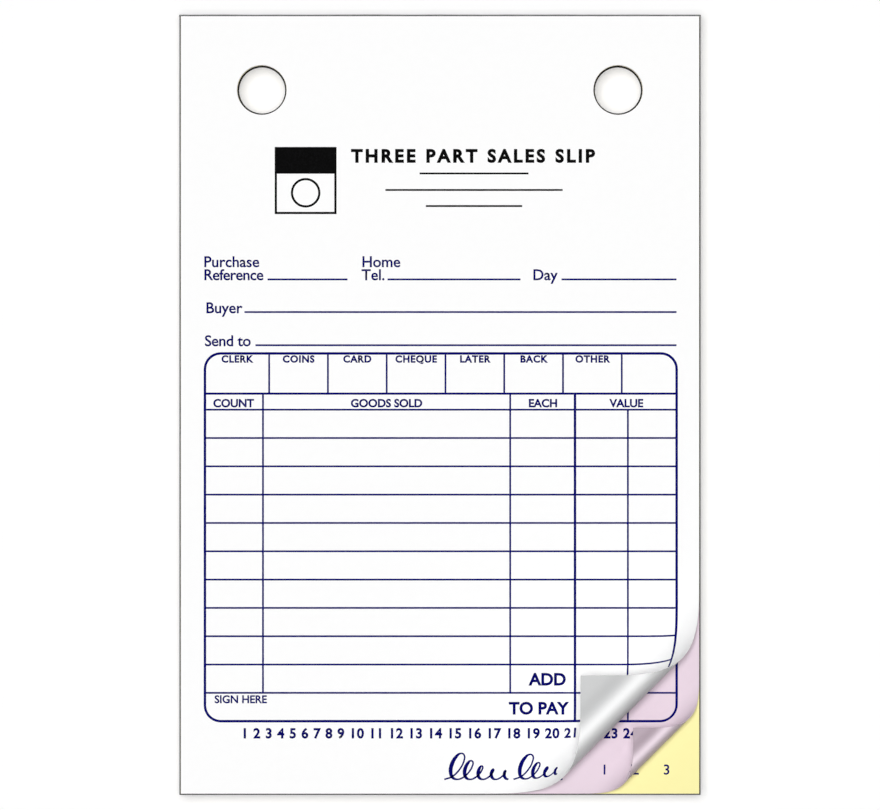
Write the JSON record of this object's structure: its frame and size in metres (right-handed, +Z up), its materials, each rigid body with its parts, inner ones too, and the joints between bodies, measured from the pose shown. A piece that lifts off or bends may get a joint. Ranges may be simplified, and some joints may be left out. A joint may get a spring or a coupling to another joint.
{
  "type": "sales slip pad",
  "caption": "Padded three-part sales slips on a chipboard back, bound at the head, punched with two holes, with two page corners rolled over.",
  "frame": {"origin": "centre of the chipboard back's underside", "axes": "+Y to the bound head with the two holes, +X to the right of the written face, +Z up out of the written face"},
  "size_m": [0.1024, 0.1532, 0.031],
  "materials": {
    "white_paper": "matte",
    "pink_paper": "matte",
    "yellow_paper": "matte",
    "slip_paper": "matte",
    "chipboard": "matte",
    "compound": "satin"
  },
  "bodies": {
    "bound_pad": {"chipboard_back": "chipboard", "padding_compound": "compound", "set_02": "slip_paper", "set_03": "slip_paper", "set_04": "slip_paper", "set_05": "slip_paper", "set_06": "slip_paper", "set_07": "slip_paper", "set_08": "slip_paper", "set_09": "slip_paper", "set_10": "slip_paper", "set_11": "slip_paper", "set_12": "slip_paper", "set_13": "slip_paper", "set_14": "slip_paper", "set_15": "slip_paper", "set_16": "slip_paper", "set_17": "slip_paper", "set_18": "slip_paper", "set_19": "slip_paper", "set_20": "slip_paper", "set_21": "slip_paper", "set_22": "slip_paper", "set_23": "slip_paper", "set_24": "slip_paper", "set_25": "slip_paper", "set_26": "slip_paper", "set_27": "slip_paper", "set_28": "slip_paper", "set_29": "slip_paper", "set_30": "slip_paper", "set_31": "slip_paper", "set_32": "slip_paper", "set_33": "slip_paper", "set_34": "slip_paper", "set_35": "slip_paper", "set_36": "slip_paper", "set_37": "slip_paper", "set_38": "slip_paper", "set_39": "slip_paper", "set_40": "slip_paper", "set_41": "slip_paper", "set_42": "slip_paper", "set_43": "slip_paper", "set_44": "slip_paper", "set_45": "slip_paper", "set_46": "slip_paper", "set_47": "slip_paper", "set_48": "slip_paper", "set_49": "slip_paper", "set_50": "slip_paper"},
    "yellow_copy": {"yellow_copy": "yellow_paper"},
    "pink_copy": {"pink_copy": "pink_paper"},
    "white_slip": {"white_slip": "white_paper"}
  },
  "joints": [
    {"name": "yellow_lift", "type": "hinge", "parent": "bound_pad", "child": "yellow_copy", "pos_m": [0, 0.0762, 0.01407], "axis": [-1, 0, 0], "range_deg": [0, 30]},
    {"name": "pink_lift", "type": "hinge", "parent": "yellow_copy", "child": "pink_copy", "pos_m": [0, 0.0762, 0.01416], "axis": [-1, 0, 0], "range_deg": [0, 40]},
    {"name": "white_lift", "type": "hinge", "parent": "pink_copy", "child": "white_slip", "pos_m": [0, 0.0762, 0.01425], "axis": [-1, 0, 0], "range_deg": [0, 110]}
  ]
}
